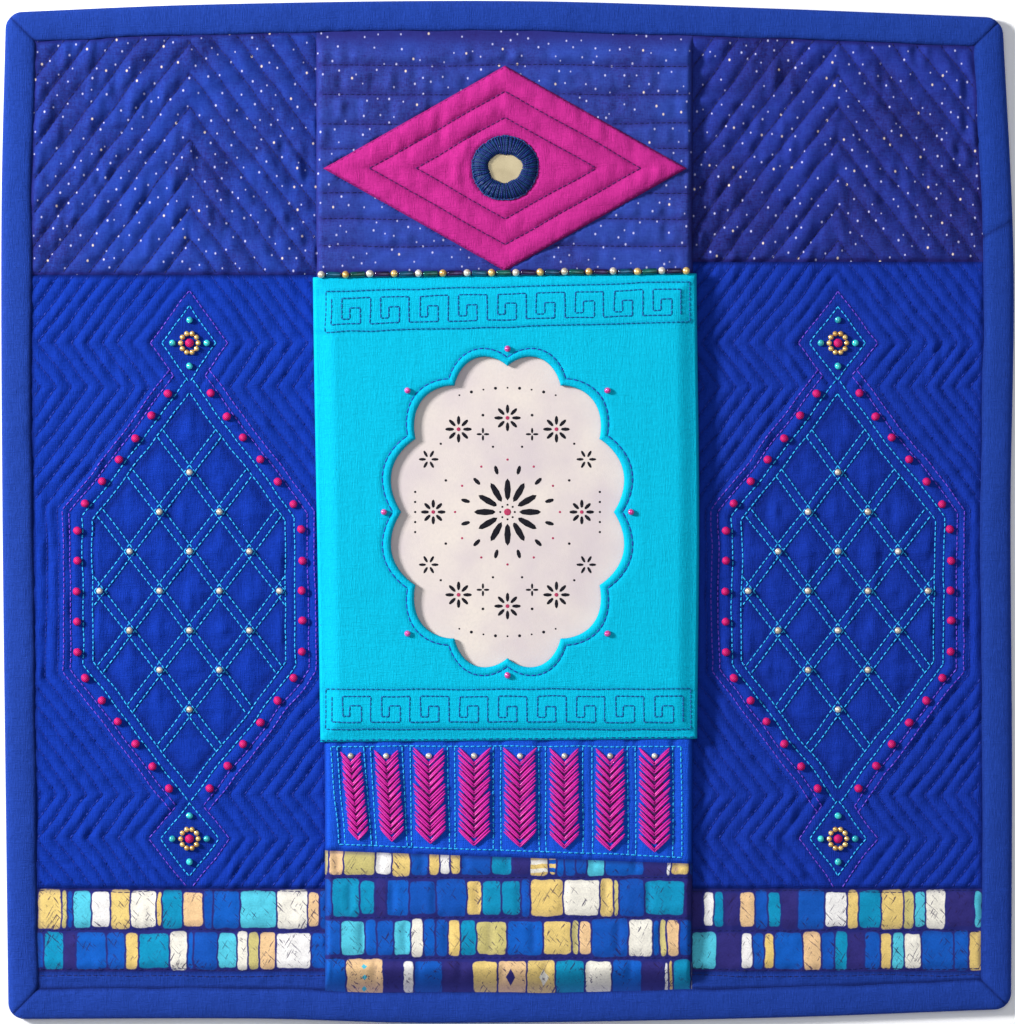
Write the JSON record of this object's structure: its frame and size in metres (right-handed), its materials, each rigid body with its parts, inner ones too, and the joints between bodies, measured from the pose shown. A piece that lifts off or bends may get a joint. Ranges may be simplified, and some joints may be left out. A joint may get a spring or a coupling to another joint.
{
  "type": "mini quilt",
  "caption": "Small bound quilt in royal blue with a raised centre panel, a turquoise pocket front with a scalloped window, and echo-quilted side fields",
  "frame": {"origin": "middle of the quilt's back, on the surface it lies on", "axes": "+Z out of the quilt's face, +Y to its top edge, +X to its right side seen from the front"},
  "size_m": [0.4045, 0.4084, 0.0116],
  "materials": {
    "field_cloth": "woven cotton, quilted",
    "binding_cloth": "woven cotton",
    "panel_cloth": "printed cotton, quilted",
    "magenta_cloth": "woven cotton",
    "turquoise_cloth": "woven cotton",
    "page_cloth": "pale sheet with a printed ornament",
    "mirror_disc": "small silvered embroidery mirror",
    "thread": "embroidery thread"
  },
  "bodies": {
    "root": {"quilt_field": "field_cloth", "binding": "binding_cloth", "centre_panel": "panel_cloth", "lozenge": "magenta_cloth", "mirror": "mirror_disc", "mirror_ring": "thread", "pocket_front": "turquoise_cloth", "page": "page_cloth"}
  },
  "joints": []
}
